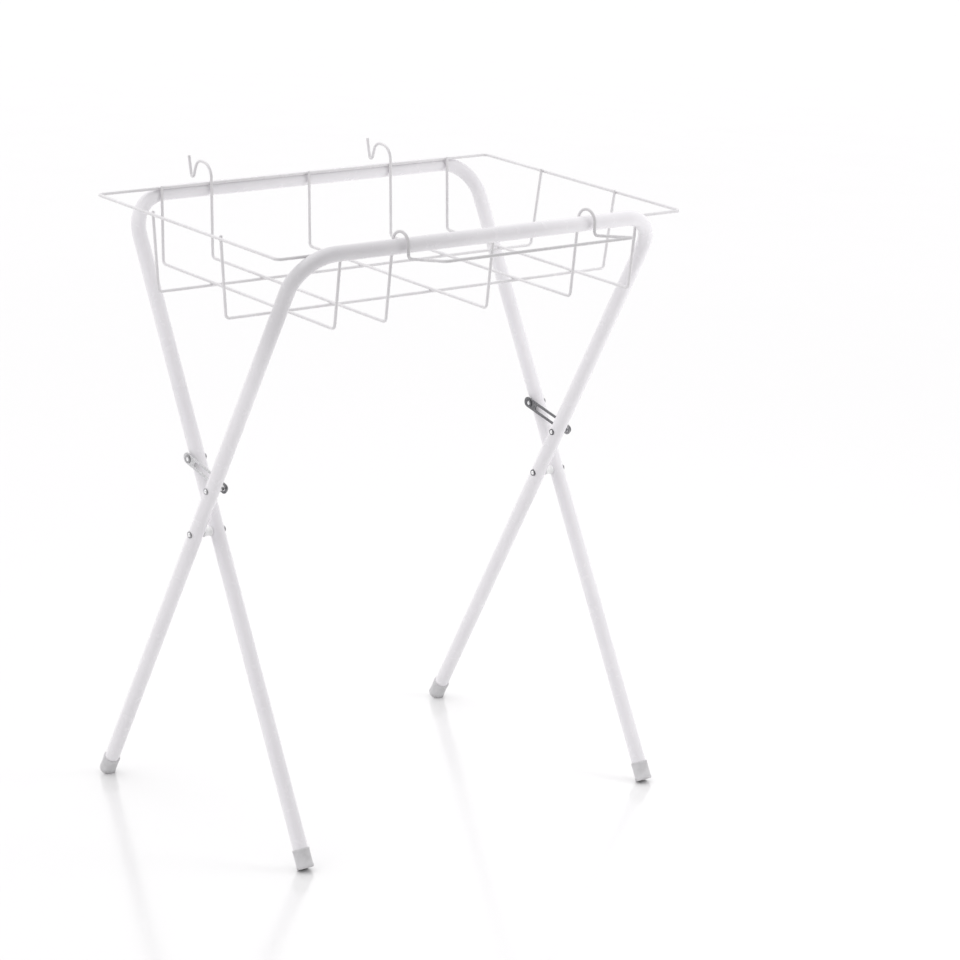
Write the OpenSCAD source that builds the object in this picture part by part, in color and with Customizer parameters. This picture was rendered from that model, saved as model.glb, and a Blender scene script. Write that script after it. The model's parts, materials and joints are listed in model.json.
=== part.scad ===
// Folding stand for a baby bath, in millimetres.
// Two crossed tube frames turn on a pair of pivot pins. A wire basket hangs
// between their top rails, and its hooks carry a towel bar on the near side.
// +X runs along the rails, +Y from the towel bar to the far rail, +Z up.
// The origin is on the floor, under the middle of the whole stand.

/* [Frames] */
// Distance between the centrelines of a frame's two legs
leg_spacing = 552; // [500:2:620]
// Sideways gap between a front leg and the rear leg beside it
leg_gap = 12.5; // [12:0.5:20]
// Outer diameter of the frame tube
tube_d = 19; // [16:0.5:22]
// Wall of the frame tube
tube_wall = 1.2; // [0.8:0.1:2]
// Radius of the tube's top bends, at its centreline
tube_bend_r = 52; // [44:1:60]
// Length of a leg from the pivot up to the middle of the top rail
leg_up = 443; // [400:1:500]
// Length of a leg from the pivot down to the floor
leg_down = 438; // [400:1:500]
// Angle between the two frames when the stand is open
open_angle = 57; // [52:0.5:62]
// Angle between the two frames when the stand is folded
closed_angle = 3; // [3:0.5:8]

/* [Feet] */
// Outer diameter of a foot cap
foot_d = 22; // [21.5:0.1:26]
// Length of a foot cap along the leg
foot_length = 25; // [16:0.5:40]
// Thickness of a foot cap below the end of the tube
foot_base = 4; // [2.5:0.5:8]
// Rounding of a foot cap's lower edge
foot_round = 2; // [1:0.25:2.5]
// Depth of the flat that stands on the floor
foot_flat = 1.2; // [0.6:0.1:1.5]

/* [Pivot pins] */
// Diameter of a pivot pin's shank
pivot_pin_d = 6; // [4:0.5:8]
// Diameter of a pivot pin's domed heads
pivot_head_d = 8.5; // [8.5:0.5:14]
// Height of a pivot pin's domed heads
pivot_head_h = 2.2; // [1.5:0.1:4]
// Outer diameter of the spacer between two legs
spacer_d = 12; // [10:0.5:15]

/* [Stays] */
// Distance from the pivot up to the stay's pin on a rear leg
stay_pin_up = 95; // [88:1:110]
// Distance from the pivot up to the stay's pin on a front leg
slot_pin_up = 74; // [66:1:78]
// Width of a stay strap
strap_w = 14; // [12:0.5:16]
// Thickness of a stay strap
strap_t = 1.8; // [1:0.1:2.5]
// Metal left past the slot at the strap's far end
strap_margin = 2.8; // [2:0.1:5]
// Strap left past its hole at the near end
strap_tail = 10; // [8:0.5:12]
// How far the slot runs on past the stub when the stand is folded
slot_spare = 3.5; // [0:0.5:5]
// Diameter of both stay pins' shanks
stay_pin_d = 5; // [4:0.5:6]
// Diameter of the round head that holds a strap on its rear pin
stay_head_d = 11; // [9:0.5:14]
// Thickness of that round head
stay_head_t = 1.6; // [1:0.1:4]
// Diameter of the stay pins' small outer heads
stay_rivet_d = 8; // [7:0.5:12]
// Height of the stay pins' small outer heads
stay_rivet_h = 2.2; // [1.5:0.1:4]
// Outer diameter of the washer between strap and leg
washer_d = 11; // [9:0.5:13]
// Thickness of the washer between strap and leg
washer_t = 3.4; // [1.5:0.1:3.5]
// Diameter of the stub that runs in a strap's slot
stub_d = 6.6; // [4:0.1:7.5]
// Diameter of the stub's retaining head
stub_head_d = 9.5; // [9:0.5:12]
// Thickness of the stub's retaining head
stub_head_t = 2.2; // [1.2:0.1:2.4]

/* [Basket] */
// Diameter of the basket's wire
wire_d = 3.8; // [3:0.1:5]
// Distance from the legs' outer faces out to the rim's end wires
rim_overhang = 11.75; // [8:0.25:30]
// Corner radius of the rim wire
rim_corner_r = 7; // [5:0.5:20]
// How far below the rail's middle the near rim wire lies on the frame
rim_drop = 9; // [4:0.1:12]
// Angle from upright at which the far rim wire lies on its rail
rim_rest_angle = 44; // [42:1:52]
// Depth of the basket below its rim
basket_depth = 100.5; // [80:0.5:115]
// How far the near wall leans in on its way down
near_lean = 6.5; // [5:0.5:20]
// How far the far wall leans in on its way down
far_lean = 8; // [7.5:0.5:14]
// How far each end wall leans in on its way down
end_lean = 11; // [6:0.5:30]
// Bend radius where a wire turns from a wall to the bottom
wire_bend_r = 6; // [4:0.5:12]
// Distance between the two long bottom wires
long_wire_gap = 151; // [100:1:220]
// Distance from the left legs in to the left cross wire
left_wire_inset = 31.25; // [31:0.25:60]
// Distance from the right legs in to the right cross wire
right_wire_inset = 8.75; // [8:0.25:60]
// How far the plain wires' tips stand above the rim
tip_rise = 3; // [2:0.5:6]

/* [Hooks and towel bar] */
// Distance between the two hook wires
hook_span = 289; // [200:0.5:340]
// How far the hooks' middle lies to the right of the stand's middle
hook_shift = 1; // [0:0.25:12]
// Gap between the near rail and a near hook's front stroke
hook_front_gap = 2.1; // [1:0.1:5]
// Gap between the near rail and the top of a near hook
hook_top_gap = 5.6; // [4:0.1:9]
// Length of the straight on top of a near hook
hook_top_flat = 1; // [0.5:0.5:4]
// Drop from the rail's middle to the root of a towel arm
arm_drop = 13.4; // [11:0.1:20]
// Bend radius at the root of a towel arm
arm_bend_r = 5.5; // [3.5:0.5:7]
// Distance from the rail's middle out to the towel bar
bar_reach = 87; // [60:1:120]
// Drop from the rail's middle to the towel bar
bar_drop = 3; // [0:0.5:12]
// Bend radius at the ends of the towel bar
bar_bend_r = 6; // [4:0.5:14]
// Height of a far hook's arch above the rail's middle
far_arch_up = 35; // [30:0.5:42]
// Distance from the rail's middle out to a far hook's arch corner
far_arch_out = 22; // [20:0.5:24]
// Rise of a far hook's arch from wall to corner
far_arch_rise = 3; // [0:0.5:5]
// Bend radius of a far hook above the basket's wall
far_shoulder_r = 19; // [12:0.5:19]
// Bend radius of a far hook's outer shoulder
far_arch_r = 14; // [10:0.5:14]
// Distance from the rail's middle out to a far hook's valley
far_valley_out = 33; // [31:0.5:35]
// Height of a far hook's valley corner above the rail's middle
far_valley_up = 2.4; // [1:0.1:6]
// Bend radius in a far hook's valley
far_valley_r = 3.4; // [3:0.1:4]
// Distance from the rail's middle out to a far hook's tip
far_tip_out = 42; // [40:0.5:52]
// Height of a far hook's tip above the rail's middle
far_tip_up = 37; // [28:0.5:40]

/* [Clearances] */
// Radial clearance of a pin in a hole that turns on it
run_gap = 0.05; // [0.02:0.01:0.1]
// Sideways clearance between pieces that slide past each other
side_gap = 0.3; // [0.2:0.05:0.4]
// Gap between a wire and the tube that it rests on
seat_gap = 0.3; // [0.2:0.05:0.5]
// Gap between two wires where they are spot-welded
weld_gap = 0.05; // [0.02:0.01:0.1]
// Radial clearance of a foot cap on its tube
cap_gap = 0.05; // [0.02:0.01:0.1]

/* [Hidden] */
$fn = 48;

left = -1;
right = 1;
front = -1;
rear = 1;

// Radii, and where the frames stand.
tube_r = tube_d / 2;
wire_r = wire_d / 2;
half_open = open_angle / 2;
frame_shift = (tube_d + leg_gap) / 2;
pivot_z = leg_down * cos(half_open);
rail_y = leg_up * sin(half_open);
rail_z = pivot_z + leg_up * cos(half_open);
leg_outer = leg_spacing / 2 + frame_shift + tube_r;
leg_inner = leg_spacing / 2 - frame_shift - tube_r;

// The foot cap's bottom face is square to the leg, so the cap's lower edge
// would reach the floor first; the flat is cut there.
foot_r = foot_d / 2;
foot_edge = foot_r - foot_round;
foot_bottom_z = foot_edge * sin(half_open) + foot_round * (1 - cos(half_open)) - foot_flat;
foot_bottom = leg_down - foot_bottom_z / cos(half_open);
tube_bottom = foot_bottom - foot_base;

// Pieces in the gap between two legs, as distances from its middle.
gap_face = leg_gap / 2;
outer_face = gap_face + tube_d;
washer_x = gap_face - side_gap - washer_t;
strap_x = washer_x - side_gap - strap_t;
pin_stop_x = strap_x - side_gap;

// The stay: the strap's hole and its slot pin, as [y, z] from the pivot.
stay_hole = stay_pin_up * [sin(half_open), cos(half_open)];
slot_pin = slot_pin_up * [-sin(half_open), cos(half_open)];
stay_line = slot_pin - stay_hole;
stay_angle = atan2(stay_line[1], stay_line[0]);
slot_far = norm(stay_line);
slot_near = sqrt(pow(stay_pin_up, 2) + pow(slot_pin_up, 2)
    - 2 * stay_pin_up * slot_pin_up * cos(closed_angle));
slot_w = stub_d + 2 * side_gap;

// The rim wire rests on both frames: [y, z] from the middle of the pivots.
rest_r = tube_r + wire_r + seat_gap;
rim_near = [
    -rail_y + rest_r * cos(half_open) + rim_drop * sin(half_open),
    rail_z + rest_r * sin(half_open) - rim_drop * cos(half_open)
];
rim_far = [
    rail_y - rest_r * sin(rim_rest_angle),
    rail_z + rest_r * cos(rim_rest_angle)
];
rim_depth = norm(rim_far - rim_near);
rim_tilt = atan2(rim_far[1] - rim_near[1], rim_far[0] - rim_near[0]);
rim_end = leg_outer + rim_overhang;

// The basket's own places: across from the near rim wire, and down from it.
weld_step = wire_d + weld_gap;
near_top = weld_step;
near_bottom = near_top + near_lean;
far_top = rim_depth - weld_step;
far_bottom = far_top - far_lean;
end_top = rim_end - weld_step;
end_bottom = end_top - end_lean;
cross_depth = basket_depth - weld_step;
long_near = (rim_depth - long_wire_gap) / 2;
long_far = (rim_depth + long_wire_gap) / 2;
left_wire_x = -leg_inner + left_wire_inset;
right_wire_x = leg_inner - right_wire_inset;
middle_wire_x = (left_wire_x + right_wire_x) / 2;

// The hook wire, from the towel bar over the near rail, down the near wall,
// along the bottom, up the far wall and over in an arch to its tip.
hook_front = -rail_y - tube_r - wire_r - hook_front_gap;
hook_top = rail_z + tube_r + wire_r + hook_top_gap;
near_wall_top = in_basket(near_top, 0);
near_wall_bottom = in_basket(near_bottom, cross_depth);
far_wall_top = in_basket(far_top, 0);
far_wall_bottom = in_basket(far_bottom, cross_depth);
hook_inner = line_at_height(near_wall_bottom, near_wall_top, hook_top);
hook_turn = 90 - atan2(near_wall_bottom[0] - hook_inner, hook_top - near_wall_bottom[1]);
hook_arch_r = (hook_inner - hook_front - hook_top_flat) / (1 + tan(hook_turn / 2));
far_shoulder_z = rail_z + far_arch_up - far_arch_rise;
far_shoulder_y = line_at_height(far_wall_bottom, far_wall_top, far_shoulder_z);
far_valley = [rail_y + far_valley_out, rail_z + far_valley_up];
far_tip = [rail_y + far_tip_out, rail_z + far_tip_up];

// The stand reaches further on the towel bar's side, so the pivots stand
// this far behind the middle.
bar_face = rail_y + bar_reach + wire_r;
tip_face = far_tip[0] + wire_r * (far_tip[1] - far_valley[1]) / norm(far_tip - far_valley);
pivot_y = (bar_face - tip_face) / 2;

// A place in the basket as [y, z]: across from the near rim wire and down.
function in_basket(across, down) = rim_near + [
    across * cos(rim_tilt) + down * sin(rim_tilt),
    across * sin(rim_tilt) - down * cos(rim_tilt)
];

// Where the line through two [y, z] places reaches a height.
function line_at_height(low, high, z) =
    low[0] + (high[0] - low[0]) * (z - low[1]) / (high[1] - low[1]);

// How far a bend stands proud of its straights, and how far they run into it.
bend_proud = 0.01;
bend_lap = 0.1;

function unit(v) = v / norm(v);
function turn_between(a, b) = acos(max(-1, min(1, unit(a) * unit(b))));

// Length that a bend of radius r takes from each of the two straights it joins.
function bend_take(before, corner, after, r) =
    r * tan(turn_between(corner - before, after - corner) / 2);

// A round bar of the given diameter from one point to another.
module bar(start, end, d) {
    along = end - start;
    translate(start)
        rotate([0, atan2(norm([along[0], along[1]]), along[2]), atan2(along[1], along[0])])
        cylinder(h = norm(along), d = d);
}

// A round bend about a corner, between the straights to its neighbours. It is
// a hair thicker than they are, so that their ends stay inside it.
module bend(before, corner, after, r, d) {
    into = unit(corner - before);
    out = unit(after - corner);
    turn = turn_between(into, out);
    centre = corner + unit(out - into) * r / cos(turn / 2);
    start = corner - into * r * tan(turn / 2);
    outward = unit(start - centre);
    axis = cross(outward, into);
    multmatrix([
        [outward[0], into[0], axis[0], centre[0]],
        [outward[1], into[1], axis[1], centre[1]],
        [outward[2], into[2], axis[2], centre[2]]
    ])
        rotate_extrude(angle = turn) translate([r, 0]) circle(r = d / 2 + bend_proud);
}

// Round stock bent at the corners of a path. The ends of an open path have
// radius 0; a closed path bends at every corner.
module bent_bar(points, radii, d, closed = false) {
    count = len(points);
    for (i = [0 : closed ? count - 1 : count - 2]) {
        here = points[i];
        next = points[(i + 1) % count];
        along = unit(next - here);
        first = !closed && i == 0;
        last = !closed && i == count - 2;
        take = first ? 0
            : bend_take(points[(i + count - 1) % count], here, next, radii[i]) - bend_lap;
        give = last ? 0
            : bend_take(here, next, points[(i + 2) % count], radii[(i + 1) % count]) - bend_lap;
        bar(here + along * take, next - along * give, d);
    }
    for (i = [0 : count - 1]) {
        if (radii[i] > 0) {
            before = points[(i + count - 1) % count];
            bend(before, points[i], points[(i + 1) % count], radii[i], d);
        }
    }
}

// Everything below is placed from the middle of the pivots' floor line.
module placed() {
    translate([0, pivot_y, 0]) children();
}

// Lays children that stand along +Z from the pivot onto a frame's slope.
module on_frame(side) {
    translate([side * frame_shift, 0, pivot_z])
        rotate([-side * half_open, 0, 0])
        children();
}

// A cylinder along +X from one distance to another.
module cross_cylinder(from, to, d) {
    translate([from, 0, 0]) rotate([0, 90, 0]) cylinder(h = to - from, d = d);
}

// A low round head whose flat face is at 0 and whose dome points along +X.
module domed_head(d, h) {
    dome_r = (pow(d / 2, 2) + pow(h, 2)) / (2 * h);
    rotate([0, 90, 0])
        rotate_extrude()
        intersection() {
            translate([0, h - dome_r]) circle(r = dome_r, $fn = 96);
            square([d / 2, h]);
        }
}

// The pivots' and stays' places: end is left or right.
module at_pivot(end) {
    translate([end * leg_spacing / 2, 0, pivot_z]) children();
}

module at_stay_hole(end) {
    at_pivot(end) translate([0, stay_hole[0], stay_hole[1]]) children();
}

module at_slot_pin(end) {
    at_pivot(end) translate([0, slot_pin[0], slot_pin[1]]) children();
}

// The upside-down U of one frame, along its own slope.
module frame_path(d, extra) {
    half = leg_spacing / 2;
    low = -tube_bottom - extra;
    bent_bar(
        [[-half, 0, low], [-half, 0, leg_up], [half, 0, leg_up], [half, 0, low]],
        [0, tube_bend_r, tube_bend_r, 0],
        d
    );
}

// A frame tube with its two pivot holes and its two stay pin holes.
module frame_tube(side, stay_up) {
    difference() {
        frame_path(tube_d, 0);
        frame_path(tube_d - 2 * tube_wall, 1);
        for (x = [-leg_spacing / 2, leg_spacing / 2]) {
            translate([x, 0, 0])
                cross_cylinder(-tube_d, tube_d, pivot_pin_d + 2 * run_gap);
            translate([x, 0, stay_up])
                cross_cylinder(-tube_d, tube_d, stay_pin_d + 2 * run_gap);
        }
    }
}

module front_frame_tube() {
    color("whitesmoke") placed() on_frame(front) frame_tube(front, slot_pin_up);
}

module rear_frame_tube() {
    color("whitesmoke") placed() on_frame(rear) frame_tube(rear, stay_pin_up);
}

// A cap over the end of a leg, cut flat where it stands on the floor.
module foot_cap(side, end) {
    bore_d = tube_d + 2 * cap_gap;
    color("lightgray") placed()
        difference() {
            on_frame(side)
                translate([end * leg_spacing / 2, 0, -foot_bottom])
                difference() {
                    rotate_extrude() {
                        square([foot_edge, foot_length]);
                        translate([0, foot_round])
                            square([foot_r, foot_length - foot_round]);
                        intersection() {
                            translate([foot_edge, foot_round]) circle(r = foot_round);
                            square([foot_r, foot_length]);
                        }
                    }
                    translate([0, 0, foot_base - cap_gap])
                        cylinder(h = foot_length, d = bore_d);
                }
            translate([-leg_spacing, -leg_down, -foot_d])
                cube([2 * leg_spacing, 2 * leg_down, foot_d]);
        }
}

module foot_cap_front_left() foot_cap(front, left);
module foot_cap_front_right() foot_cap(front, right);
module foot_cap_rear_left() foot_cap(rear, left);
module foot_cap_rear_right() foot_cap(rear, right);

// A pivot pin through a front leg, the spacer and a rear leg.
module pivot_pin(end) {
    head_x = outer_face + side_gap;
    color("silver") placed() at_pivot(end) {
        cross_cylinder(-head_x, head_x, pivot_pin_d);
        translate([head_x, 0, 0]) domed_head(pivot_head_d, pivot_head_h);
        translate([-head_x, 0, 0]) mirror([1, 0, 0]) domed_head(pivot_head_d, pivot_head_h);
    }
}

module pivot_pin_left() pivot_pin(left);
module pivot_pin_right() pivot_pin(right);

// The plastic spacer between two legs.
module pivot_spacer(end) {
    face = gap_face - side_gap;
    color("white") placed() at_pivot(end)
        difference() {
            cross_cylinder(-face, face, spacer_d);
            cross_cylinder(-leg_gap, leg_gap, pivot_pin_d + 2 * run_gap);
        }
}

module pivot_spacer_left() pivot_spacer(left);
module pivot_spacer_right() pivot_spacer(right);

// A flat round-ended shape along +X.
module long_round(from, to, w) {
    translate([from + w / 2, 0]) circle(d = w);
    translate([to - w / 2, 0]) circle(d = w);
    translate([from + w / 2, -w / 2]) square([to - from - w, w]);
}

// The slotted strap that limits how far the frames open.
module stay_strap(end) {
    slot_from = slot_near - slot_w / 2 - slot_spare;
    slot_to = slot_far + slot_w / 2;
    color("gray") placed() at_stay_hole(end)
        translate([strap_x, 0, 0])
        rotate([stay_angle, 0, 0])
        rotate([90, 0, 90])
        linear_extrude(strap_t)
        difference() {
            long_round(-strap_tail, slot_to + strap_margin, strap_w);
            long_round(slot_from, slot_to, slot_w);
            circle(d = stay_pin_d + 2 * run_gap);
        }
}

module stay_strap_left() stay_strap(left);
module stay_strap_right() stay_strap(right);

// The pin that carries a strap on a rear leg.
module stay_pin(end) {
    tail_x = outer_face + side_gap;
    color("silver") placed() at_stay_hole(end) {
        cross_cylinder(pin_stop_x - stay_head_t, pin_stop_x, stay_head_d);
        cross_cylinder(pin_stop_x - stay_head_t / 2, tail_x, stay_pin_d);
        translate([tail_x, 0, 0]) domed_head(stay_rivet_d, stay_rivet_h);
    }
}

module stay_pin_left() stay_pin(left);
module stay_pin_right() stay_pin(right);

// The washer that keeps a strap off its rear leg.
module stay_washer(end) {
    color("silver") placed() at_stay_hole(end)
        difference() {
            cross_cylinder(washer_x, washer_x + washer_t, washer_d);
            cross_cylinder(-leg_gap, leg_gap, stay_pin_d + 2 * run_gap);
        }
}

module stay_washer_left() stay_washer(left);
module stay_washer_right() stay_washer(right);

// The pin on a front leg that carries the stub in the slot.
module slot_pin_piece(end) {
    tail_x = outer_face + side_gap;
    color("silver") placed() at_slot_pin(end) {
        cross_cylinder(-tail_x, pin_stop_x, stay_pin_d);
        translate([-tail_x, 0, 0]) mirror([1, 0, 0]) domed_head(stay_rivet_d, stay_rivet_h);
    }
}

module slot_pin_left() slot_pin_piece(left);
module slot_pin_right() slot_pin_piece(right);

// The stub that runs in the slot, with the head that keeps the strap on it.
module slot_slider(end) {
    head_x = strap_x + strap_t + side_gap;
    color("silver") placed() at_slot_pin(end) {
        cross_cylinder(strap_x, head_x + stub_head_t / 2, stub_d);
        cross_cylinder(head_x, head_x + stub_head_t, stub_head_d);
    }
}

module slot_slider_left() slot_slider(left);
module slot_slider_right() slot_slider(right);

// The closed rim that the other wires are welded to.
module rim_wire() {
    corners = [
        [rim_end, rim_near[0], rim_near[1]],
        [rim_end, rim_far[0], rim_far[1]],
        [-rim_end, rim_far[0], rim_far[1]],
        [-rim_end, rim_near[0], rim_near[1]]
    ];
    radii = [for (corner = corners) rim_corner_r];
    color("white") placed() bent_bar(corners, radii, wire_d, closed = true);
}

// Half of the hook wire's path at x, from the towel bar to the far tip.
function hook_half(x) = [
    [x, -rail_y - bar_reach, rail_z - bar_drop],
    [x, hook_front, rail_z - arm_drop],
    [x, hook_front, hook_top],
    [x, hook_inner, hook_top],
    [x, near_wall_bottom[0], near_wall_bottom[1]],
    [x, far_wall_bottom[0], far_wall_bottom[1]],
    [x, far_shoulder_y, far_shoulder_z],
    [x, rail_y + far_arch_out, rail_z + far_arch_up],
    [x, far_valley[0], far_valley[1]],
    [x, far_tip[0], far_tip[1]]
];

function reversed(list) = [for (i = [len(list) - 1 : -1 : 0]) list[i]];

// One long wire: far hook, bottom, near hook, towel bar, and back again.
module hook_wire() {
    half_radii = [
        bar_bend_r, arm_bend_r, hook_arch_r, hook_arch_r, wire_bend_r, wire_bend_r,
        far_shoulder_r, far_arch_r, far_valley_r, 0
    ];
    color("white") placed()
        bent_bar(
            concat(
                reversed(hook_half(hook_shift - hook_span / 2)),
                hook_half(hook_shift + hook_span / 2)
            ),
            concat(reversed(half_radii), half_radii),
            wire_d
        );
}

// A plain wire across the basket, welded inside the rim at both tips.
module cross_wire(x) {
    places = [
        in_basket(near_top, -tip_rise),
        in_basket(near_top, wire_r),
        in_basket(near_bottom, cross_depth),
        in_basket(far_bottom, cross_depth),
        in_basket(far_top, wire_r),
        in_basket(far_top, -tip_rise)
    ];
    color("white") placed()
        bent_bar(
            [for (place = places) [x, place[0], place[1]]],
            [0, wire_bend_r, wire_bend_r, wire_bend_r, wire_bend_r, 0],
            wire_d
        );
}

module cross_wire_left() cross_wire(left_wire_x);
module cross_wire_middle() cross_wire(middle_wire_x);
module cross_wire_right() cross_wire(right_wire_x);

// A wire along the basket, welded under the cross wires and inside the rim.
module long_wire(across) {
    top = in_basket(across, -tip_rise);
    rim = in_basket(across, wire_r);
    low = in_basket(across, basket_depth);
    color("white") placed()
        bent_bar(
            [
                [-end_top, top[0], top[1]],
                [-end_top, rim[0], rim[1]],
                [-end_bottom, low[0], low[1]],
                [end_bottom, low[0], low[1]],
                [end_top, rim[0], rim[1]],
                [end_top, top[0], top[1]]
            ],
            [0, wire_bend_r, wire_bend_r, wire_bend_r, wire_bend_r, 0],
            wire_d
        );
}

module long_wire_near() long_wire(long_near);
module long_wire_far() long_wire(long_far);

front_frame_tube();
rear_frame_tube();
foot_cap_front_left();
foot_cap_front_right();
foot_cap_rear_left();
foot_cap_rear_right();
pivot_pin_left();
pivot_pin_right();
pivot_spacer_left();
pivot_spacer_right();
stay_strap_left();
stay_strap_right();
stay_pin_left();
stay_pin_right();
stay_washer_left();
stay_washer_right();
slot_pin_left();
slot_pin_right();
slot_slider_left();
slot_slider_right();
rim_wire();
hook_wire();
cross_wire_left();
cross_wire_middle();
cross_wire_right();
long_wire_near();
long_wire_far();
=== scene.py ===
# Looks of the folding stand, in metres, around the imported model.
import json
import math

import bmesh
import bpy
from mathutils import Matrix, Vector


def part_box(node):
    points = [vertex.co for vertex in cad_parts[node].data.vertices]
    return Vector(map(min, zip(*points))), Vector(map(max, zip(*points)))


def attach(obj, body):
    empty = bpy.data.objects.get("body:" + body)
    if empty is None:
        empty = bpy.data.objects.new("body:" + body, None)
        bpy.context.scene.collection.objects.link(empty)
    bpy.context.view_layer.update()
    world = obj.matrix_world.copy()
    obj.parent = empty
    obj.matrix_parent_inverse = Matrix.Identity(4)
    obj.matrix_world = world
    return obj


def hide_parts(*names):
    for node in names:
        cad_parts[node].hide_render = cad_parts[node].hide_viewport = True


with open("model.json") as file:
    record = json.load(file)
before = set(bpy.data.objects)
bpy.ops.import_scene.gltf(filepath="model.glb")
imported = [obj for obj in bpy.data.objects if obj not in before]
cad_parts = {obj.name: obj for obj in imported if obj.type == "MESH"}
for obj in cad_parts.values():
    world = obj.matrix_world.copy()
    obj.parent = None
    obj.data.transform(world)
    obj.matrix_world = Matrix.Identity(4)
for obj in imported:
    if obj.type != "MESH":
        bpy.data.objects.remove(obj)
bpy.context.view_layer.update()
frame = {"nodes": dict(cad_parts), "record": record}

# The stand's own sizes, as in its source.
LEG_SPACING = 0.552
LEG_GAP = 0.0125
TUBE_R = 0.0095
LEG_UP = 0.443
LEG_DOWN = 0.438
HALF_OPEN = math.radians(28.5)
FRAME_SHIFT = TUBE_R + LEG_GAP / 2
SIDE_GAP = 0.0003
RUN_GAP = 0.00005

FOOT_R = 0.011
FOOT_LENGTH = 0.025
FOOT_BASE = 0.004
FOOT_ROUND = 0.002
FOOT_FLAT = 0.0012
CAP_GAP = 0.00005

PIVOT_PIN_R = 0.003
PIVOT_HEAD = (0.00425, 0.0022)
SPACER_R = 0.006

STAY_PIN_UP = 0.095
SLOT_PIN_UP = 0.074
STRAP_W = 0.014
STRAP_T = 0.0018
STRAP_TAIL = 0.010
STRAP_MARGIN = 0.0028
SLOT_SPARE = 0.0035
STAY_PIN_R = 0.0025
STAY_HEAD = (0.0055, 0.0016)
STAY_RIVET = (0.0040, 0.0022)
WASHER = (0.0055, 0.0034)
STUB_R = 0.0033
STUB_HEAD = (0.00475, 0.0022)
CLOSED_ANGLE = math.radians(3)

WIRE_R = 0.0019
WELD_STEP = 2 * WIRE_R + 0.00005
BASKET_DEPTH = 0.1005
TIP_RISE = 0.003
LONG_WIRE_GAP = 0.151

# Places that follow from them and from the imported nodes' boxes.
FRONT, REAR = -1, 1
ENDS = {"left": -1, "right": 1}
GAP_FACE = LEG_GAP / 2
OUTER_FACE = GAP_FACE + 2 * TUBE_R
HEAD_FACE = OUTER_FACE + SIDE_GAP
WASHER_X = GAP_FACE - SIDE_GAP - WASHER[1]
STRAP_X = WASHER_X - SIDE_GAP - STRAP_T
PIN_STOP_X = STRAP_X - SIDE_GAP
SPACER_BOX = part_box("pivot_spacer_left")
PIVOT = (Vector(SPACER_BOX[0]) + Vector(SPACER_BOX[1])) / 2
PIVOT.x = 0.0


def from_pivot(up, side):
    """The offset from a pivot of a place that far up a leg of the front or rear frame."""
    return Vector((0.0, side * up * math.sin(HALF_OPEN), up * math.cos(HALF_OPEN)))


STAY_HOLE = from_pivot(STAY_PIN_UP, REAR)
SLOT_PIN = from_pivot(SLOT_PIN_UP, FRONT)
STAY_LINE = SLOT_PIN - STAY_HOLE
STAY_ANGLE = math.atan2(STAY_LINE.z, STAY_LINE.y)
SLOT_FAR = STAY_LINE.length
SLOT_NEAR = math.sqrt(
    STAY_PIN_UP**2 + SLOT_PIN_UP**2 - 2 * STAY_PIN_UP * SLOT_PIN_UP * math.cos(CLOSED_ANGLE)
)
SLOT_W = 2 * STUB_R + 2 * SIDE_GAP


# ---------------------------------------------------------------- materials


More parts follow.
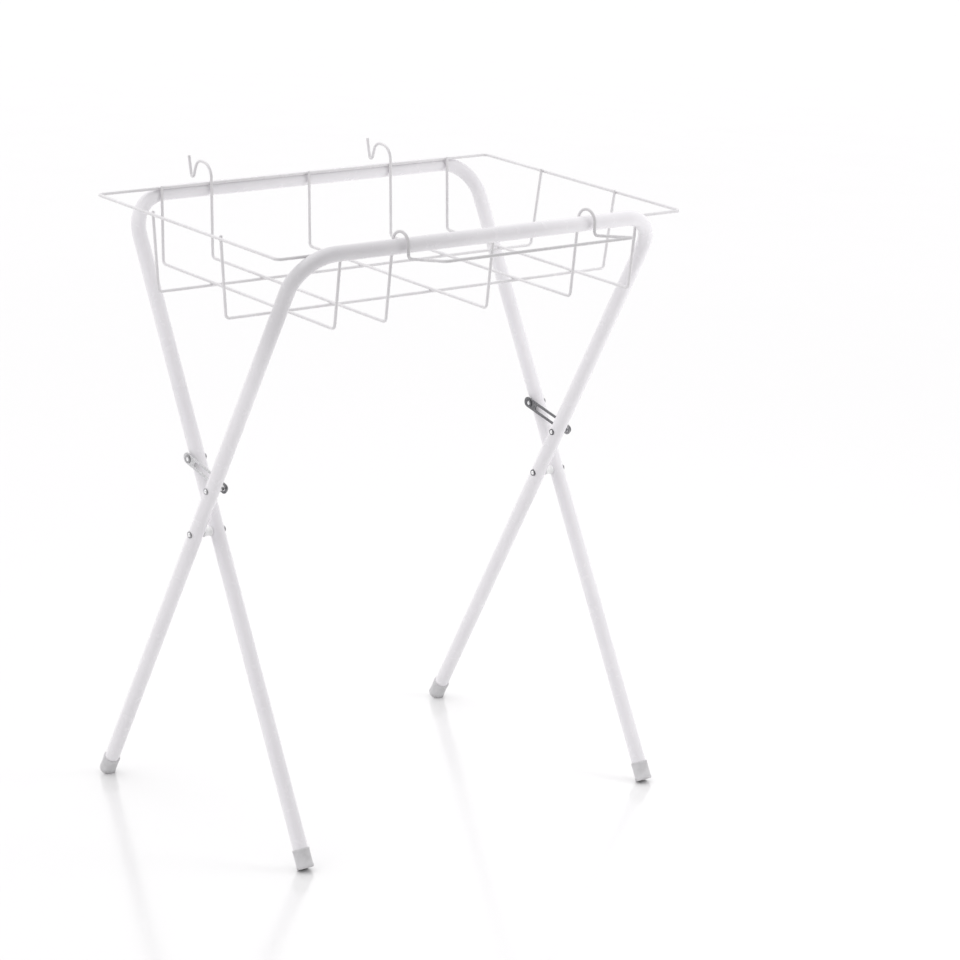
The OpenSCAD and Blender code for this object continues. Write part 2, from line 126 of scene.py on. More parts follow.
class Tree:
    """A material's nodes, with short ways to add and join them."""

    def __init__(self, name, colour, roughness, metallic=0.0):
        self.material = bpy.data.materials.new(name)
        self.material.use_nodes = True
        self.nodes = self.material.node_tree.nodes
        self.links = self.material.node_tree.links
        self.shader = self.nodes["Principled BSDF"]
        self.set(self.shader, {
            "Base Color": (*colour, 1.0), "Roughness": roughness, "Metallic": metallic,
        })
        self.place = self.nodes.new("ShaderNodeTexCoord").outputs["Object"]

    def set(self, node, values):
        for socket, value in values.items():
            node.inputs[socket].default_value = value

    def stretched(self, scale, turn=(0.0, 0.0, 0.0)):
        """The place, turned and then stretched, for grain that runs one way."""
        turned = self.nodes.new("ShaderNodeMapping")
        self.set(turned, {"Rotation": turn})
        self.links.new(self.place, turned.inputs["Vector"])
        node = self.nodes.new("ShaderNodeMapping")
        self.set(node, {"Scale": scale})
        self.links.new(turned.outputs["Vector"], node.inputs["Vector"])
        return node.outputs["Vector"]

    def noise(self, scale, detail=2.0, place=None):
        node = self.nodes.new("ShaderNodeTexNoise")
        self.set(node, {"Scale": scale, "Detail": detail})
        self.links.new(place or self.place, node.inputs["Vector"])
        return node.outputs["Fac"]

    def ramp(self, source, stops):
        node = self.nodes.new("ShaderNodeValToRGB")
        elements = node.color_ramp.elements
        while len(elements) < len(stops):
            elements.new(0.5)
        for element, (place, colour) in zip(elements, stops):
            element.position = place
            element.color = (*colour, 1.0)
        self.links.new(source, node.inputs["Fac"])
        return node.outputs["Color"]

    def spread(self, source, low, high, start=0.3, end=0.7):
        node = self.nodes.new("ShaderNodeMapRange")
        self.set(node, {"From Min": start, "From Max": end, "To Min": low, "To Max": high})
        self.links.new(source, node.inputs["Value"])
        return node.outputs["Result"]

    def mixed(self, factor, a, b):
        """Two colours mixed by a factor."""
        node = self.nodes.new("ShaderNodeMix")
        node.data_type = "RGBA"
        self.links.new(factor, node.inputs[0])
        self.links.new(a, node.inputs[6])
        self.links.new(b, node.inputs[7])
        return node.outputs[2]

    def feed(self, socket, source):
        self.links.new(source, self.shader.inputs[socket])

    def grey(self, tint, *spans):
        """Paints shade into the colour: greys it by a tint where soft spans of (axis, none at, full at) all
        meet.
        """
        place = self.nodes.new("ShaderNodeSeparateXYZ")
        self.links.new(self.place, place.inputs["Vector"])
        shade = self.nodes.new("ShaderNodeValue").outputs[0]
        shade.default_value = 1.0
        for axis, none_at, full_at in spans:
            ends = (0.0, 1.0) if full_at > none_at else (1.0, 0.0)
            part = self.spread(place.outputs[axis], *ends, *sorted((none_at, full_at)))
            node = self.nodes.new("ShaderNodeMath")
            node.operation = "MULTIPLY"
            self.links.new(shade, node.inputs[0])
            self.links.new(part, node.inputs[1])
            shade = node.outputs[0]
        node = self.nodes.new("ShaderNodeMix")
        node.data_type = "RGBA"
        node.blend_type = "MULTIPLY"
        self.links.new(shade, node.inputs[0])
        self.links.new(self.shader.inputs["Base Color"].links[0].from_socket, node.inputs[6])
        node.inputs[7].default_value = (tint, tint, tint, 1.0)
        self.feed("Base Color", node.outputs[2])

    def bump(self, *layers):
        """Bump layers of (height, strength, distance), one on top of another."""
        normal = None
        for height, strength, distance in layers:
            node = self.nodes.new("ShaderNodeBump")
            self.set(node, {"Strength": strength, "Distance": distance})
            self.links.new(height, node.inputs["Height"])
            if normal:
                self.links.new(normal, node.inputs["Normal"])
            normal = node.outputs["Normal"]
        self.feed("Normal", normal)


def coated_steel(name, dark, light, roughness, peel_scale, peel_strength):
    """White baked coating: faint cloudiness, a fine orange peel and slow thickness waves."""
    tree = Tree(name, light, roughness)
    cloud = tree.noise(14.0, 3.0)
    tree.feed("Base Color", tree.ramp(cloud, [(0.3, dark), (0.7, light)]))
    tree.feed("Roughness", tree.spread(tree.noise(90.0, 3.0), roughness - 0.04, roughness + 0.05))
    tree.bump(
        (tree.noise(160.0, 1.0), 0.05, 0.0004),
        (tree.noise(peel_scale, 2.0), peel_strength, 0.00012),
    )
    tree.set(tree.shader, {"Coat Weight": 0.22, "Coat Roughness": 0.09, "IOR": 1.5})
    return tree


def plated_steel(name, shades, roughness, grain_scale, turn=(0.0, 0.0, 0.0)):
    """Zinc-plated steel: spangled shades, drawn grain and small scratches."""
    tree = Tree(name, shades[-1], roughness, metallic=1.0)
    spangle = tree.noise(420.0, 4.0)
    stops = [(0.3 + 0.4 * i / (len(shades) - 1), shade) for i, shade in enumerate(shades)]
    tree.feed("Base Color", tree.ramp(spangle, stops))
    grain = tree.noise(1.0, 3.0, tree.stretched(grain_scale, turn))
    tree.feed("Roughness", tree.spread(grain, roughness - 0.08, roughness + 0.12))
    tree.bump((grain, 0.18, 0.00006), (tree.noise(2600.0, 2.0), 0.05, 0.00003))
    return tree


def moulded_plastic(name, dark, light, roughness, grain):
    """Moulded plastic with a fine spark-eroded grain and slight handling marks."""
    tree = Tree(name, light, roughness)
    tree.feed("Base Color", tree.ramp(tree.noise(120.0, 4.0), [(0.32, dark), (0.66, light)]))
    tree.feed("Roughness", tree.spread(tree.noise(300.0, 3.0), roughness - 0.06, roughness + 0.08))
    tree.bump((tree.noise(grain, 3.0), 0.16, 0.00006), (tree.noise(210.0, 1.0), 0.06, 0.0002))
    tree.set(tree.shader, {"IOR": 1.47})
    return tree


FRAME_COAT = coated_steel(
    "frame_powder_coat", (0.846, 0.830, 0.856), (0.884, 0.868, 0.892), 0.24, 1000.0, 0.10
)
# Painted shade: the coat is greyed towards the left, the front and the top, which darkens the near rail's
# left part and its bend.
FRAME_COAT.grey(0.82, ("X", 0.16, -0.20), ("Y", -0.05, -0.12), ("Z", 0.60, 0.70))
WIRE_COAT = coated_steel(
    "wire_dip_coat", (0.730, 0.717, 0.730), (0.805, 0.792, 0.805), 0.26, 1500.0, 0.12
)
# Painted shade: the wire coat is greyed in front of the near rail, on the hooks and the towel bar.
WIRE_COAT.grey(0.80, ("Y", -0.165, -0.19))
ZINC = plated_steel(
    "zinc_plating", [(0.70, 0.71, 0.73), (0.84, 0.84, 0.85), (0.94, 0.94, 0.94)],
    0.16, (300.0, 1400.0, 1400.0),
).material


def grey_range(dark, light):
    """Three slightly blue greys from dark to light."""
    return [(grey, grey, grey + 0.008) for grey in (dark, (dark + light) / 2, light)]


# Painted shade and dark reflection: a dark steel for the rims of heads and washers, standing in for the
# dark edge that light leaves on them.
def painted_dark_rim(name, dark, light):
    return plated_steel(name, grey_range(dark, light), 0.38, (300.0, 1400.0, 1400.0)).material


def strap_steel(name, shades, painted_tip_shades):
    """Strip steel whose grain runs along the strap, with painted reflection: its shades and the other
    shades at its slotted tip stand in for the light and dark that it reflects.
    """
    tree = plated_steel(
        name, grey_range(*shades), 0.34, (900.0, 60.0, 1500.0), (-STAY_ANGLE, 0.0, 0.0)
    )
    along = tree.nodes.new("ShaderNodeSeparateXYZ")
    tree.links.new(tree.place, along.inputs["Vector"])
    plain = tree.shader.inputs["Base Color"].links[0].from_socket
    low, _, high = grey_range(*painted_tip_shades)
    # Painted reflection at the slotted tip: the tip takes its own shades below the stub.
    painted_tip_colour = tree.ramp(tree.noise(380.0, 4.0), [(0.3, low), (0.7, high)])
    stub_y = PIVOT.y + SLOT_PIN.y
    tip = tree.spread(along.outputs["Y"], 1.0, 0.0, stub_y + 0.004, stub_y + 0.012)
    tree.feed("Base Color", tree.mixed(tip, plain, painted_tip_colour))
    return tree.material


# Painted light: the left end's rims are a lit copy and the right end's rims a shaded copy.
RIM_LOOKS = {
    "left": painted_dark_rim("tarnished_rim_left", 0.26, 0.52),
    "right": painted_dark_rim("tarnished_rim_right", 0.08, 0.24),
}
# Painted light: the left strap is a lit copy and the right strap a shaded copy, each with its own painted
# tip.
STRAP_LOOKS = {
    "left": strap_steel("strap_steel_left", (0.48, 0.74), (0.12, 0.28)),
    "right": strap_steel("strap_steel_right", (0.12, 0.26), (0.24, 0.42)),
}


def foot_plastic():
    """Grey foot plastic, a little darker where it meets the floor: a painted contact shadow."""
    tree = moulded_plastic("foot_plastic", (0.575, 0.570, 0.580), (0.655, 0.650, 0.662), 0.42, 2400.0)
    height = tree.nodes.new("ShaderNodeSeparateXYZ")
    tree.links.new(tree.place, height.inputs["Vector"])
    moulded = tree.shader.inputs["Base Color"].links[0].from_socket
    # Painted shade: a darker speckled grey near the floor stands in for the contact shadow.
    painted_contact_shade = tree.ramp(tree.noise(650.0, 5.0), [(0.35, (0.37, 0.365, 0.37)), (0.62, (0.56, 0.555, 0.565))])
    near_floor = tree.spread(height.outputs["Z"], 1.0, 0.0, 0.0005, 0.0065)
    tree.feed("Base Color", tree.mixed(near_floor, moulded, painted_contact_shade))
    return tree.material


def spacer_plastic():
    tree = moulded_plastic("spacer_plastic", (0.90, 0.90, 0.905), (0.95, 0.95, 0.95), 0.38, 1800.0)
    tree.set(tree.shader, {"Subsurface Weight": 0.12, "Subsurface Radius": (0.002, 0.002, 0.002)})
    return tree.material


FOOT_PLASTIC = foot_plastic()
SPACER_PLASTIC = spacer_plastic()

LOOKS = {
    "frame_paint": FRAME_COAT.material,
    "wire_paint": WIRE_COAT.material,
    "zinc_steel": ZINC,
    "strap_steel": STRAP_LOOKS["right"],
    "foot_plastic": FOOT_PLASTIC,
    "spacer_plastic": SPACER_PLASTIC,
}

for subpart in frame["record"]["subparts"]:
    for slot in frame["nodes"][subpart["node"]].material_slots:
        slot.material = LOOKS[subpart["material_slot"]]


# ---------------------------------------------------------------- mesh tools

# The innermost radius of a turned shape, where it closes.
EDGE = 0.00002


def piece(name, mesh, body, slot, *replaced):
    """Puts a mesh in the scene as a piece of a body, with that slot's look."""
    mesh.materials.append(LOOKS[slot])
    mesh.shade_smooth()
    made = bpy.data.objects.new(name, mesh)
    bpy.context.scene.collection.objects.link(made)
    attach(made, body)
    if replaced:
        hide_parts(*replaced)
    return made


def mesh_of(name, build):
    """A mesh from a bmesh that the builder fills."""
    work = bmesh.new()
    build(work)
    bmesh.ops.recalc_face_normals(work, faces=work.faces)
    mesh = bpy.data.meshes.new(name)
    work.to_mesh(mesh)
    work.free()
    return mesh


def add_rings(work, rings, closed_ends=True):
    """Skins a list of rings of points, and caps the first and the last."""
    loops = [[work.verts.new(point) for point in ring] for ring in rings]
    count = len(loops[0])
    for low, high in zip(loops, loops[1:]):
        for i in range(count):
            j = (i + 1) % count
            work.faces.new((low[i], low[j], high[j], high[i]))
    if closed_ends:
        work.faces.new(loops[0][::-1])
        work.faces.new(loops[-1])
    return loops


def close_skin(work, loops):
    """Joins the last loop of a skin to its first one."""
    first, last = loops[0], loops[-1]
    for i in range(len(first)):
        j = (i + 1) % len(first)
        work.faces.new((last[i], last[j], first[j], first[i]))


def circle_points(place, radius, height, count):
    """Points of a circle about the place's Z axis."""
    return [
        place @ Vector((
            radius * math.cos(math.tau * i / count), radius * math.sin(math.tau * i / count), height
        ))
        for i in range(count)
    ]


def add_lathe(work, place, profile, count=48, hollow=False):
    """Revolves (radius, height) pairs about the place's Z axis. A hollow profile is a closed loop."""
    rings = [circle_points(place, radius, height, count) for radius, height in profile]
    if hollow:
        close_skin(work, add_rings(work, rings, closed_ends=False))
    else:
        add_rings(work, rings)


def rounded(profile, radius, steps=3):
    """A (radius, height) profile with its inner corners rounded by up to that radius."""
    made = [profile[0]]
    for before, corner, after in zip(profile, profile[1:], profile[2:]):
        a, b, c = (Vector(p) for p in (before, corner, after))
        into, out = (b - a).normalized(), (c - b).normalized()
        turn = math.acos(max(-1.0, min(1.0, into.dot(out))))
        if turn < math.radians(25):
            made.append(corner)
            continue
        reach = min(radius, 0.45 * (b - a).length, 0.45 * (c - b).length)
        start, end = b - into * reach, b + out * reach
        for k in range(steps + 1):
            t = k / steps
            made.append(tuple(start * (1 - t) ** 2 + b * 2 * t * (1 - t) + end * t**2))
    made.append(profile[-1])
    return made


def dome(radius, height, base, steps=8):
    """The (radius, height) profile of a low round head, from its rim up to its crown."""
    sphere = (radius**2 + height**2) / (2 * height)
    reach = math.asin(radius / sphere)
    return [
        (sphere * math.sin(reach * (1 - k / steps)),
         base + height - sphere + sphere * math.cos(reach * (1 - k / steps)))
        for k in range(steps)
    ] + [(EDGE, base + height)]


def along_x(point, way=1):
    """A place at a point whose Z axis lies along +X or -X."""
    return Matrix.Translation(point) @ Matrix.Rotation(way * math.pi / 2, 4, "Y")


def pivot_at(end, offset=Vector()):
    return PIVOT + Vector((ENDS[end] * LEG_SPACING / 2, 0, 0)) + offset


def leg_place(side, end):
    """A place at a leg's pivot hole whose Z axis runs up the leg."""
    at = pivot_at(end, Vector((side * FRAME_SHIFT, 0, 0)))
    return Matrix.Translation(at) @ Matrix.Rotation(-side * HALF_OPEN, 4, "X")


# ---------------------------------------------------------------- fasteners

# Small trims of the turned pieces.
ROUNDING = 0.0003
CHAMFER = 0.0004
CROWN_SINK = 0.0002
RIM_SHARE = 0.66
RIM_RISE = 0.42
STAY_CROWN_SHARE = 0.45
STUB_DISH = 0.0006
ZONE_EDGE = 0.0001
BUSH_FLANGE = 0.0022
BUSH_WAIST = SPACER_R - 0.0007
BUSH_NECK = 0.0006


def headed_pin(name, node, body, place, profile, rim_look, rims):
    """A pin with its heads. Rims are (inner, outer, lowest, highest) zones that take the rim look, a
    painted dark edge of shade and reflection.
    """
    made = piece(
        name,
        mesh_of(name, lambda work: add_lathe(work, place, rounded(profile, ROUNDING))),
        body, "zinc_steel", node,
    )
    made.data.materials.append(rim_look)
    back = place.inverted()
    for face in made.data.polygons:
        at = back @ face.center
        reach = math.hypot(at.x, at.y)
        if any(a < reach < b and low < at.z < high for a, b, low, high in rims):
            face.material_index = 1


def rivet_head(radius, height, base):
    """A rivet head with a low rim around a bright domed crown, rim first."""
    inner = RIM_SHARE * radius
    step = base + RIM_RISE * height
    flange = [
        (radius, base), (radius, step - CROWN_SINK), (radius - ROUNDING, step),
        (inner + CROWN_SINK, step),
    ]
    return flange + dome(inner, base + height - step + CROWN_SINK, step - CROWN_SINK)


def rim_zone(radius, base, height):
    """The zone of a rivet head that its rim fills, painted dark as shade and reflection."""
    return (
        RIM_SHARE * radius + ZONE_EDGE / 2, radius + ZONE_EDGE, base + ZONE_EDGE, base + height
    )


def mirrored(profile):
    """The same profile with its heights turned over, in the other order."""
    return [(radius, -height) for radius, height in reversed(profile)]


PIVOT_RIM = rim_zone(PIVOT_HEAD[0], HEAD_FACE, PIVOT_HEAD[1])
STAY_RIM = rim_zone(STAY_RIVET[0], HEAD_FACE, STAY_RIVET[1])
for end in ENDS:
    half = [(PIVOT_PIN_R, HEAD_FACE)] + rivet_head(*PIVOT_HEAD, HEAD_FACE)
    headed_pin(
        f"pivot_rivet_{end}", f"pivot_pin_{end}", "front_frame",
        along_x(pivot_at(end)), mirrored(half) + half, RIM_LOOKS[end],
        [PIVOT_RIM, (PIVOT_RIM[0], PIVOT_RIM[1], -PIVOT_RIM[3], -PIVOT_RIM[2])],
    )
    tail = [(STAY_PIN_R, HEAD_FACE)] + rivet_head(*STAY_RIVET, HEAD_FACE)
    crown = STAY_CROWN_SHARE * STAY_HEAD[0]
    back = PIN_STOP_X - 0.5 * STAY_HEAD[1]
    button = mirrored(dome(crown, 0.5 * STAY_HEAD[1] + CROWN_SINK, -back - CROWN_SINK)) + [
        (crown + CROWN_SINK, back), (STAY_HEAD[0] - ROUNDING, back),
        (STAY_HEAD[0], back + ROUNDING), (STAY_HEAD[0], PIN_STOP_X), (STAY_PIN_R, PIN_STOP_X),
    ]
    # The stay head's flange also takes the painted dark edge.
    flange_zone = (crown, STAY_HEAD[0] + ZONE_EDGE, back - ZONE_EDGE, PIN_STOP_X + ZONE_EDGE)
    headed_pin(
        f"stay_rivet_{end}", f"stay_pin_{end}", "rear_frame",
        along_x(pivot_at(end, STAY_HOLE)), button + tail, RIM_LOOKS[end],
        [STAY_RIM, flange_zone],
    )
    stem = [(EDGE, -PIN_STOP_X), (STAY_PIN_R, -PIN_STOP_X)]
    headed_pin(
        f"slot_rivet_{end}", f"slot_pin_{end}", "front_frame",
        along_x(pivot_at(end, SLOT_PIN), -1), stem + tail, RIM_LOOKS[end], [STAY_RIM],
    )
    stub_x = STRAP_X + STRAP_T + SIDE_GAP
    stub_end = stub_x + STUB_HEAD[1]
    stub = [
        (EDGE, STRAP_X), (STUB_R, STRAP_X), (STUB_R, stub_x), (STUB_HEAD[0], stub_x),
        (STUB_HEAD[0], stub_end), (STUB_R * 0.9, stub_end),
        (STUB_R * 0.8, stub_end - STUB_DISH), (EDGE, stub_end - STUB_DISH),
    ]
    headed_pin(
        f"slot_stub_{end}", f"slot_slider_{end}", f"slider_{end}",
        along_x(pivot_at(end, SLOT_PIN)), stub, RIM_LOOKS[end],
        [(STUB_R, STUB_HEAD[0] + ZONE_EDGE, stub_x - ZONE_EDGE, stub_end - ROUNDING)],
    )
    name = f"stay_shim_{end}"
    washer_end = WASHER_X + WASHER[1]
    ring = [
        (STAY_PIN_R + RUN_GAP, WASHER_X), (WASHER[0] - CHAMFER, WASHER_X),
        (WASHER[0], WASHER_X + CHAMFER), (WASHER[0], washer_end - CHAMFER),
        (WASHER[0] - CHAMFER, washer_end), (STAY_PIN_R + RUN_GAP, washer_end),
    ]
    piece(
        name,
        mesh_of(name, lambda work: add_lathe(work, along_x(pivot_at(end, STAY_HOLE)), ring, hollow=True)),
        "rear_frame", "zinc_steel", f"stay_washer_{end}",
    )
    name = f"pivot_bush_{end}"
    face = GAP_FACE - SIDE_GAP
    half_bush = [
        (BUSH_WAIST, face - BUSH_FLANGE - BUSH_NECK), (SPACER_R, face - BUSH_FLANGE),
        (SPACER_R, face - CHAMFER), (SPACER_R - CHAMFER, face), (PIVOT_PIN_R + RUN_GAP, face),
    ]
    bush = mirrored(half_bush) + half_bush
    piece(
        name,
        mesh_of(name, lambda work: add_lathe(work, along_x(pivot_at(end)), bush, hollow=True)),
        "front_frame", "spacer_plastic", f"pivot_spacer_{end}",
    )


def add_saddle(work, side, end, up, hole_r, outer_r):
    """A pressed saddle washer between a rivet's flat face and a leg's round side."""
    place = leg_place(side, end)
    count = 40
    clear = 0.00004
    top = TUBE_R + SIDE_GAP - clear
    spots = [
        (hole_r, 1.0), (outer_r - CHAMFER, 1.0), (outer_r, 0.75), (outer_r + ROUNDING, 0.0),
        (outer_r - 2 * ROUNDING, 0.0), (hole_r, 0.0),
    ]
    rings = []
    for radius, share in spots:
        ring = []
        for i in range(count):
            angle = math.tau * i / count
            across, along = radius * math.cos(angle), radius * math.sin(angle)
            seat = math.sqrt(TUBE_R**2 - across**2) + clear
            high = seat + share * (top - seat)
            ring.append(place @ Vector((side * high, across, up + along)))
        rings.append(ring)
    loops = add_rings(work, rings, closed_ends=False)
    close_skin(work, loops)


for end in ENDS:
    for side, body, up in ((FRONT, "front_frame", SLOT_PIN_UP), (REAR, "rear_frame", STAY_PIN_UP)):
        name = f"saddle_washers_{body}_{end}"

        def saddles(work):
            for at, pin_r, head_r in ((0.0, PIVOT_PIN_R, PIVOT_HEAD[0]), (up, STAY_PIN_R, STAY_RIVET[0])):
                add_saddle(work, side, end, at, pin_r + RUN_GAP, head_r - ZONE_EDGE)

        washers = piece(name, mesh_of(name, saddles), body, "zinc_steel")
        # Painted shade: the washers take the dark rim steel, a painted dark ring around each rivet head.
        washers.data.materials[0] = RIM_LOOKS[end]


# ---------------------------------------------------------------- stays


def stay_plate(end):
    """The slotted strap as a plate with rounded edges, cut from its outline."""
    bevel = 0.0003

    def long_round(start, stop, width, count=20):
        radius = width / 2
        turns = [math.pi / 2 + math.pi * k / count for k in range(count + 1)]
        points = [(start + radius + radius * math.cos(t), radius * math.sin(t)) for t in turns]
        return points + [
            (stop - radius - radius * math.cos(t), -radius * math.sin(t)) for t in turns
        ]

    hole = STAY_PIN_R + RUN_GAP
    hole_turns = [math.tau * k / 32 for k in range(32)]
    outlines = [
        long_round(-STRAP_TAIL, SLOT_FAR + SLOT_W / 2 + STRAP_MARGIN, STRAP_W),
        long_round(SLOT_NEAR - SLOT_W / 2 - SLOT_SPARE, SLOT_FAR + SLOT_W / 2, SLOT_W)[::-1],
        [(hole * math.cos(t), -hole * math.sin(t)) for t in hole_turns],
    ]
    curve = bpy.data.curves.new("stay_outline", "CURVE")
    curve.dimensions = "2D"
    curve.fill_mode = "BOTH"
    curve.extrude = STRAP_T / 2 - bevel
    curve.bevel_depth = bevel
    curve.bevel_resolution = 2
    curve.offset = -bevel
    for points in outlines:
        spline = curve.splines.new("POLY")
        spline.points.add(len(points) - 1)
        for point, (x, y) in zip(spline.points, points):
            point.co = (x, y, 0.0, 1.0)
        spline.use_cyclic_u = True
    shell = bpy.data.objects.new("stay_outline", curve)
    bpy.context.scene.collection.objects.link(shell)
    mesh = bpy.data.meshes.new_from_object(shell.evaluated_get(bpy.context.evaluated_depsgraph_get()))
    bpy.data.objects.remove(shell)
    bpy.data.curves.remove(curve)
    at = pivot_at(end, STAY_HOLE) + Vector((STRAP_X + STRAP_T / 2, 0, 0))
    lie = Matrix(((0, 0, 1, 0), (1, 0, 0, 0), (0, 1, 0, 0), (0, 0, 0, 1)))
    mesh.transform(Matrix.Translation(at) @ Matrix.Rotation(STAY_ANGLE, 4, "X") @ lie)
    mesh.name = f"stay_plate_{end}"
    return mesh


for end in ENDS:
    plate = piece(f"stay_plate_{end}", stay_plate(end), f"stay_{end}", "strap_steel", f"stay_strap_{end}")
    plate.data.materials[0] = STRAP_LOOKS[end]
    plate.data.set_sharp_from_angle(angle=math.radians(35))


# ---------------------------------------------------------------- feet

FOOT_BAND = 0.0042
FOOT_LIP = 0.0025
FOOT_RECESS = 0.00035
FOOT_SLOPE = 0.0005
FOOT_STEP = 0.0006


def foot_shell(work, side, end):
    """A foot cap with a rolled lip and a base bead, cut flat on the floor."""
    edge = FOOT_R - FOOT_ROUND
    floor_z = edge * math.sin(HALF_OPEN) + FOOT_ROUND * (1 - math.cos(HALF_OPEN)) - FOOT_FLAT
    bottom = -(LEG_DOWN - floor_z / math.cos(HALF_OPEN))
    bore = TUBE_R + CAP_GAP
    waist = FOOT_R - FOOT_RECESS
    lip = FOOT_LENGTH - FOOT_LIP
    profile = [(EDGE, 0.0), (edge, 0.0)]
    profile += [
        (edge + FOOT_ROUND * math.sin(t), FOOT_ROUND * (1 - math.cos(t)))
        for t in (math.pi / 2 * k / 6 for k in range(1, 7))
    ]
    profile += [
        (FOOT_R, FOOT_BAND), (waist, FOOT_BAND + FOOT_SLOPE), (waist, lip - FOOT_STEP),
        (FOOT_R, lip), (FOOT_R, FOOT_LENGTH - FOOT_STEP),
        (FOOT_R - FOOT_SLOPE, FOOT_LENGTH), (bore, FOOT_LENGTH - 0.0002), (bore, FOOT_BASE),
        (EDGE, FOOT_BASE),
    ]
    add_lathe(work, leg_place(side, end) @ Matrix.Translation((0, 0, bottom)), profile, 64)
    cut = bmesh.ops.bisect_plane(
        work, geom=work.verts[:] + work.edges[:] + work.faces[:], dist=1e-7,
        plane_co=(0, 0, 0), plane_no=(0, 0, 1), clear_inner=True,
    )
    rim = [part for part in cut["geom_cut"] if isinstance(part, bmesh.types.BMEdge)]
    bmesh.ops.edgeloop_fill(work, edges=rim)


for side, body in ((FRONT, "front"), (REAR, "rear")):
    for end in ENDS:
        name = f"foot_{body}_{end}"
        foot = piece(
            name, mesh_of(name, lambda work: foot_shell(work, side, end)),
            f"{body}_frame", "foot_plastic", f"foot_cap_{body}_{end}",
        )
        foot.data.set_sharp_from_angle(angle=math.radians(40))


# ---------------------------------------------------------------- basket details

rim_low, rim_high = (Vector(corner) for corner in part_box("rim_wire"))
RIM_END = rim_high.x - WIRE_R
RIM_NEAR = Vector((0, rim_low.y + WIRE_R, rim_low.z + WIRE_R))
RIM_FAR = Vector((0, rim_high.y - WIRE_R, rim_high.z - WIRE_R))
RIM_DEPTH = (RIM_FAR - RIM_NEAR).length
ACROSS = (RIM_FAR - RIM_NEAR).normalized()
DOWN = ACROSS.cross(Vector((1, 0, 0)))
ALONG = Vector((1, 0, 0))


def in_basket(x, across, down):
    """A place in the basket: along it, across from the near rim wire, and down from it."""
    return RIM_NEAR + ALONG * x + ACROSS * across + DOWN * down


def middle_x(node):
    low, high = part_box(node)
    return (low[0] + high[0]) / 2


hook_low, hook_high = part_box("hook_wire")
HOOKS = [hook_low[0] + WIRE_R, hook_high[0] - WIRE_R]
HOOK_WAY = Vector((0, 0.009, 0.0346)).normalized()
HOOK_TIP = from_pivot(LEG_UP, REAR) + Vector((0, PIVOT.y + 0.042, PIVOT.z + 0.037))
CROSSES = [middle_x(f"cross_wire_{place}") for place in ("left", "middle", "right")]
LONGS = [(RIM_DEPTH - LONG_WIRE_GAP) / 2, (RIM_DEPTH + LONG_WIRE_GAP) / 2]
WELD_R = 0.00165
WELD_WAIST = 0.30
WELD_SINK = 0.00012
TIP_BEAD = 0.0009
HOOK_BEAD = 0.00015


def add_weld(work, middle, way_a, way_b):
    """A fused nugget between two crossed wires, with its flanks drawn in."""
    normal = way_a.cross(way_b).normalized()
    side = normal.cross(way_a).normalized()
    side_b = normal.cross(way_b).normalized()
    count, steps = 24, 8
    reach = WELD_STEP / 2
    rings = []
    for k in range(steps + 1):
        t = k / steps
        radius = WELD_R * (1 - WELD_WAIST * math.sin(math.pi * t))
        ring = []
        for i in range(count):
            angle = math.tau * i / count
            flat = way_a * (radius * math.cos(angle)) + side * (radius * math.sin(angle))
            to_a = reach - math.sqrt(WIRE_R**2 - flat.dot(side) ** 2) + WELD_SINK
            to_b = reach - math.sqrt(WIRE_R**2 - flat.dot(side_b) ** 2) + WELD_SINK
            ring.append(middle + flat + normal * (-to_b + (to_a + to_b) * t))
        rings.append(ring)
    add_rings(work, rings)


def near_welds(work):
    for x in HOOKS + CROSSES:
        add_weld(work, in_basket(x, WELD_STEP / 2, 0), ALONG, DOWN)


def far_welds(work):
    for x in HOOKS + CROSSES:
        add_weld(work, in_basket(x, RIM_DEPTH - WELD_STEP / 2, 0), ALONG, DOWN)


def end_welds(work):
    for way in (-1, 1):
        for across in LONGS:
            add_weld(work, in_basket(way * (RIM_END - WELD_STEP / 2), across, 0), ACROSS, DOWN)


def floor_welds(work):
    for x in HOOKS + CROSSES:
        for across in LONGS:
            add_weld(work, in_basket(x, across, BASKET_DEPTH - WELD_STEP / 2), ACROSS, ALONG)


for name, build in (
    ("welds_near_rim", near_welds), ("welds_far_rim", far_welds),
    ("welds_ends", end_welds), ("welds_floor", floor_welds),
):
    piece(name, mesh_of(name, build), "basket", "wire_paint")


def add_bead(work, tip, way, rise):
    """The coating's bead over a cut wire end."""
    place = Matrix.Translation(tip) @ way.to_track_quat("Z", "Y").to_matrix().to_4x4()
    profile = [
        (WIRE_R - 0.00010, -0.0034), (WIRE_R + 0.00006, -0.0026), (WIRE_R + 0.00014, -0.0014),
        (WIRE_R + 0.00010, -0.0005), (WIRE_R - 0.00020, 0.30 * rise),
        (WIRE_R - 0.00075, 0.80 * rise), (EDGE, rise),
    ]
    add_lathe(work, place, profile, 28)


def bead_tips(work):
    for x in CROSSES:
        for across in (WELD_STEP, RIM_DEPTH - WELD_STEP):
            add_bead(work, in_basket(x, across, -TIP_RISE), -DOWN, TIP_BEAD)
    for way in (-1, 1):
        for across in LONGS:
            end_x = way * (RIM_END - WELD_STEP)
            add_bead(work, in_basket(end_x, across, -TIP_RISE), -DOWN, TIP_BEAD)
    for x in HOOKS:
        add_bead(work, HOOK_TIP + ALONG * x, HOOK_WAY, HOOK_BEAD)


piece("wire_end_beads", mesh_of("wire_end_beads", bead_tips), "basket", "wire_paint")


# ---------------------------------------------------------------- stage, light and camera

SKY_COLOUR = (1.0, 0.992, 1.0, 1.0)
SKY_DIM = 0.40
SKY_BRIGHT = 1.045
TOP_LIGHT = 0.85
SIDE_LIGHT = 4.6
PANEL_SIZE = (0.6, 1.0)

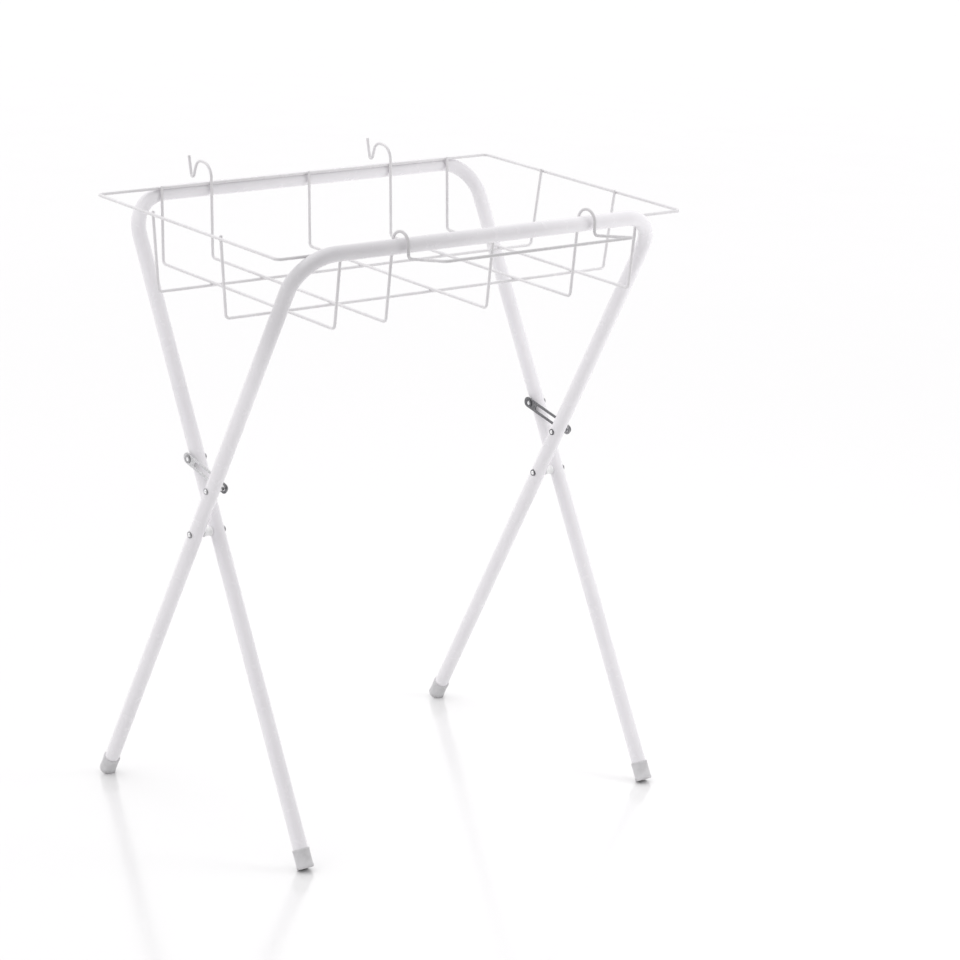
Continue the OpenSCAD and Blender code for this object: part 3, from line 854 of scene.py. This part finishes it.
# The camera, found from the photograph: its turns in radians, its place, and its focal length
# and optical centre in the image's pixels.
YAW, PITCH, ROLL = 0.62871, 0.25175, 0.02439
CAMERA_AT = Vector((-2.2888, PIVOT.y - 3.0344, 1.4960))
IMAGE_PX = 960
FOCAL_PX = 3038.18
CENTRE_PX = (335.08, 399.06)
SENSOR_MM = 36.0


def stage_floor():
    """A pale glossy floor: one flat square, far wider than the stand."""
    work = bmesh.new()
    bmesh.ops.create_grid(work, x_segments=1, y_segments=1, size=40.0)
    mesh = bpy.data.meshes.new("floor")
    work.to_mesh(mesh)
    work.free()
    floor = bpy.data.objects.new("floor", mesh)
    bpy.context.scene.collection.objects.link(floor)
    tree = Tree("floor_white", (0.92, 0.92, 0.92), 0.16, metallic=0.20)
    tree.feed("Roughness", tree.spread(tree.noise(3.0, 2.0), 0.14, 0.18))
    tree.set(tree.shader, {"IOR": 1.5})
    mesh.materials.append(tree.material)


def sky_strength(world, towards, dim, bright):
    """A white studio tent that dims smoothly towards one direction."""
    nodes, links = world.node_tree.nodes, world.node_tree.links
    view = nodes.new("ShaderNodeTexCoord").outputs["Generated"]
    dot = nodes.new("ShaderNodeVectorMath")
    dot.operation = "DOT_PRODUCT"
    dot.inputs[1].default_value = towards.normalized()
    links.new(view, dot.inputs[0])
    fall = nodes.new("ShaderNodeMapRange")
    fall.interpolation_type = "SMOOTHSTEP"
    for socket, value in {
        "From Min": -0.2, "From Max": 1.0, "To Min": bright, "To Max": dim
    }.items():
        fall.inputs[socket].default_value = value
    links.new(dot.outputs["Value"], fall.inputs["Value"])
    links.new(fall.outputs["Result"], nodes["Background"].inputs["Strength"])


def aimed(name, kind, energy, at, towards):
    """A lamp at a place, shining along a direction."""
    lamp = bpy.data.lights.new(name, kind)
    lamp.energy = energy
    made = bpy.data.objects.new(name, lamp)
    made.location = at
    made.rotation_mode = "QUATERNION"
    made.rotation_quaternion = towards.to_track_quat("-Z", "Y")
    bpy.context.scene.collection.objects.link(made)
    return made


def studio():
    """A white tent that is dimmer on the towel bar's side, a broad top light and a side panel."""
    world = bpy.data.worlds.new("studio")
    world.use_nodes = True
    world.node_tree.nodes["Background"].inputs["Color"].default_value = SKY_COLOUR
    sky_strength(world, Vector((0.0, -0.95, 0.30)), SKY_DIM, SKY_BRIGHT)
    bpy.context.scene.world = world
    top = aimed("top", "SUN", TOP_LIGHT, Vector((0, 0, 3)), Vector((0.25, 0.05, -1.0)))
    top.data.angle = math.radians(80)
    panel_at = Vector((0.97, -0.75, 0.85))
    lit = Vector((0.2, -0.1, 0.6))
    panel = aimed("side", "AREA", SIDE_LIGHT, panel_at, lit - panel_at)
    panel.data.shape = "RECTANGLE"
    panel.data.size, panel.data.size_y = PANEL_SIZE
    panel.visible_camera = False
    panel.visible_glossy = False
    bpy.context.scene.view_settings.view_transform = "Standard"


def camera():
    """A camera at the photograph's place, turned and shifted as its frame needs."""
    across = Vector((math.cos(YAW), -math.sin(YAW), 0.0))
    ahead = Vector((
        math.sin(YAW) * math.cos(PITCH), math.cos(YAW) * math.cos(PITCH), -math.sin(PITCH)
    ))
    above = across.cross(ahead)
    right = math.cos(ROLL) * across + math.sin(ROLL) * above
    up = -math.sin(ROLL) * across + math.cos(ROLL) * above
    turn = Matrix((right, up, -ahead)).transposed()
    data = bpy.data.cameras.new("camera")
    data.sensor_width = SENSOR_MM
    data.lens = FOCAL_PX / IMAGE_PX * SENSOR_MM
    data.shift_x = (IMAGE_PX / 2 - CENTRE_PX[0]) / IMAGE_PX
    data.shift_y = (CENTRE_PX[1] - IMAGE_PX / 2) / IMAGE_PX
    data.clip_end = 200.0
    made = bpy.data.objects.new("camera", data)
    made.matrix_world = Matrix.Translation(CAMERA_AT) @ turn.to_4x4()
    bpy.context.scene.collection.objects.link(made)
    bpy.context.scene.camera = made


stage_floor()
studio()
camera()
